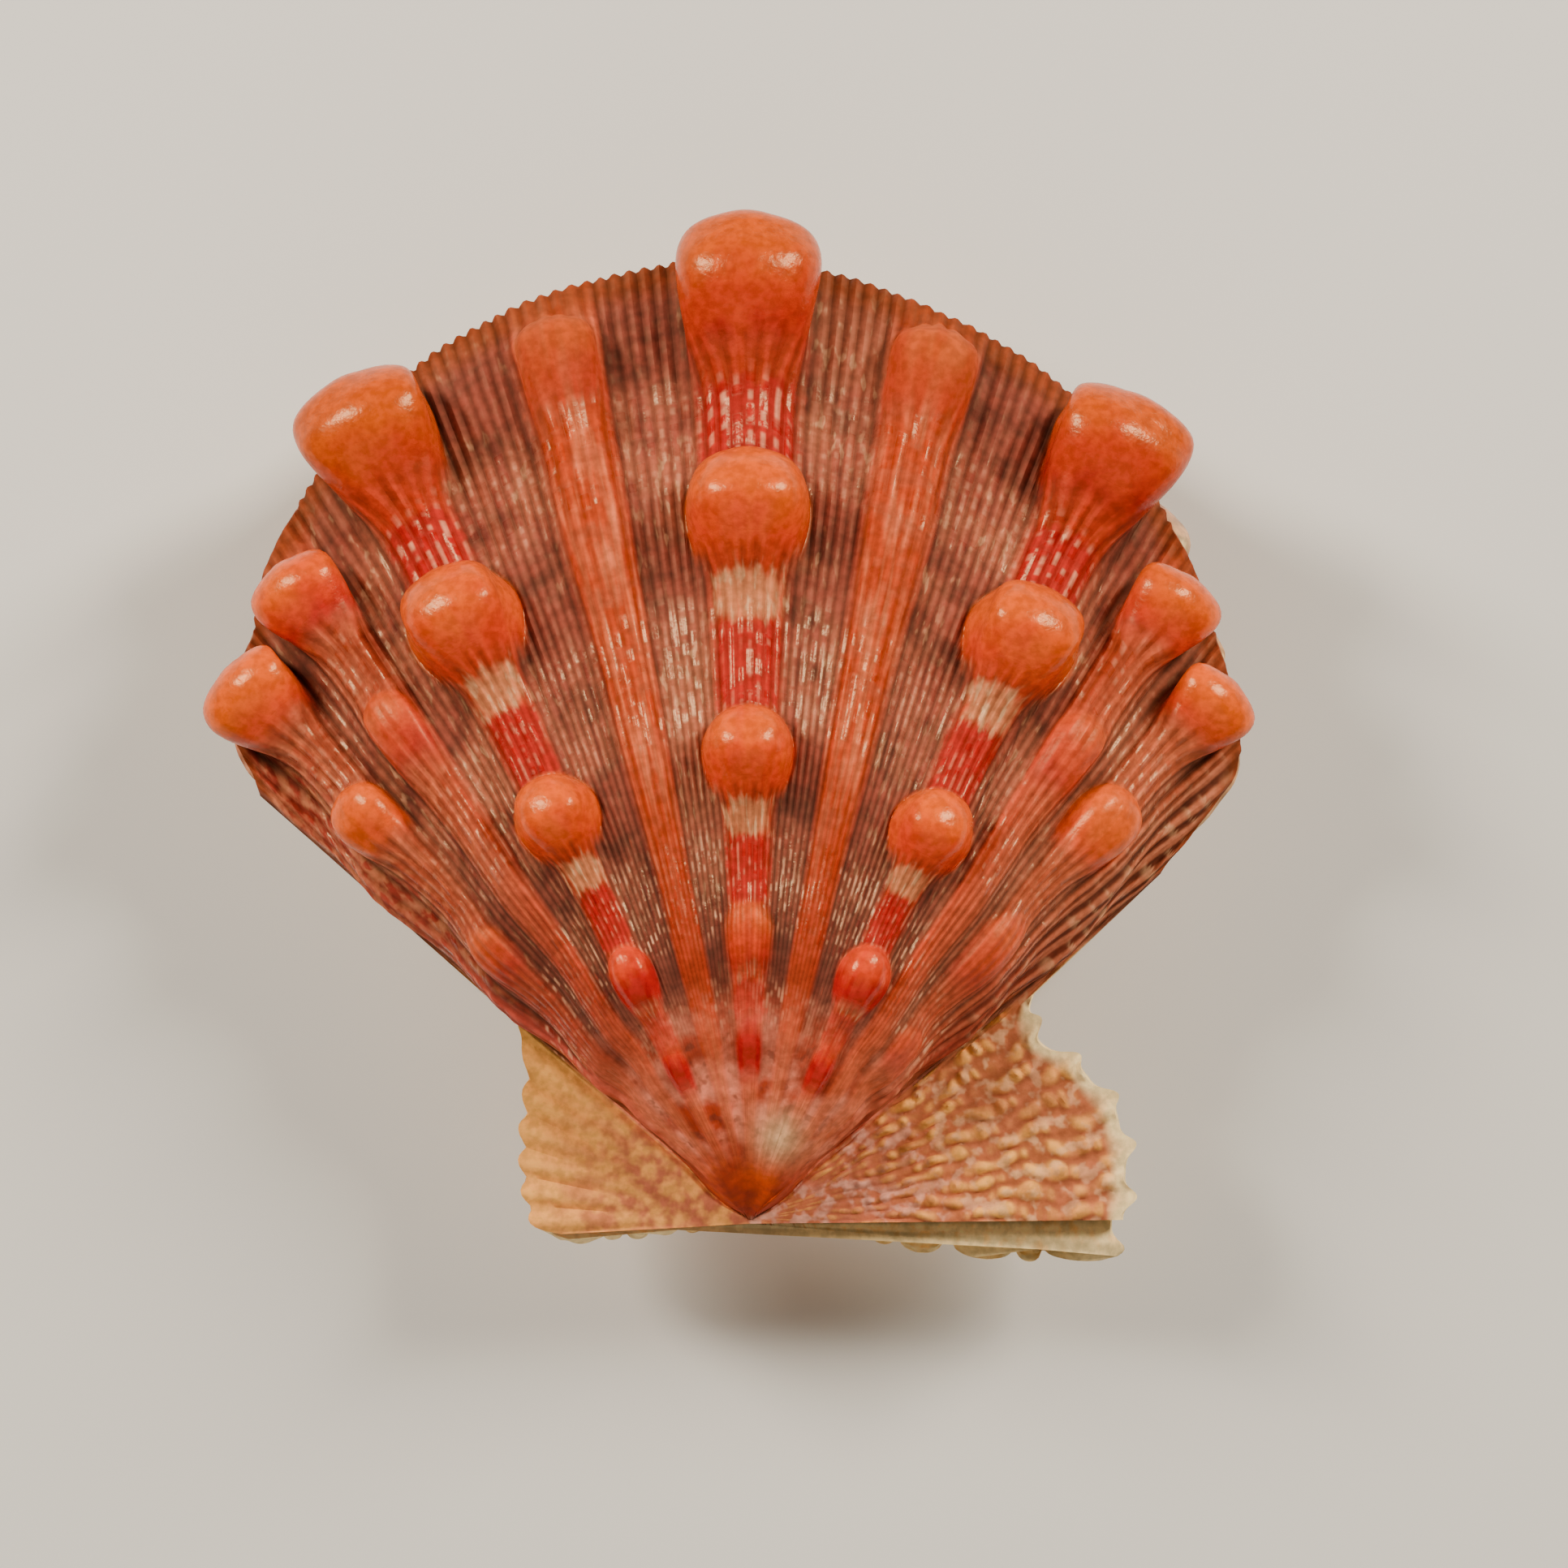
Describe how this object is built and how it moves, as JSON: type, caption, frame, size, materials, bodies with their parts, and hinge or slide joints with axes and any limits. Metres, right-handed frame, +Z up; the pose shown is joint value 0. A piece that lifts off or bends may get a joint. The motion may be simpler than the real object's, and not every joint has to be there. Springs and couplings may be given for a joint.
{
  "type": "scallop shell",
  "caption": "Closed lion's paw scallop shell, two ribbed and knobbed fan-shaped valves with unequal ears along a straight hinge, lying on the lower valve.",
  "frame": {"origin": "middle of the footprint, on the plane that the lower valve rests on", "axes": "+Z up, square to the plane where the valves meet; +Y from the hinge to the round margin; +X to the side with the larger ear"},
  "size_m": [0.071, 0.071, 0.0268],
  "materials": {
    "orange_shell": "glossy polished shell, orange knobs over brown-mauve gaps",
    "pale_shell": "glossy polished shell, pale tan to salmon"
  },
  "bodies": {
    "root": {"upper_valve": "orange_shell", "lower_valve": "pale_shell"}
  },
  "joints": []
}
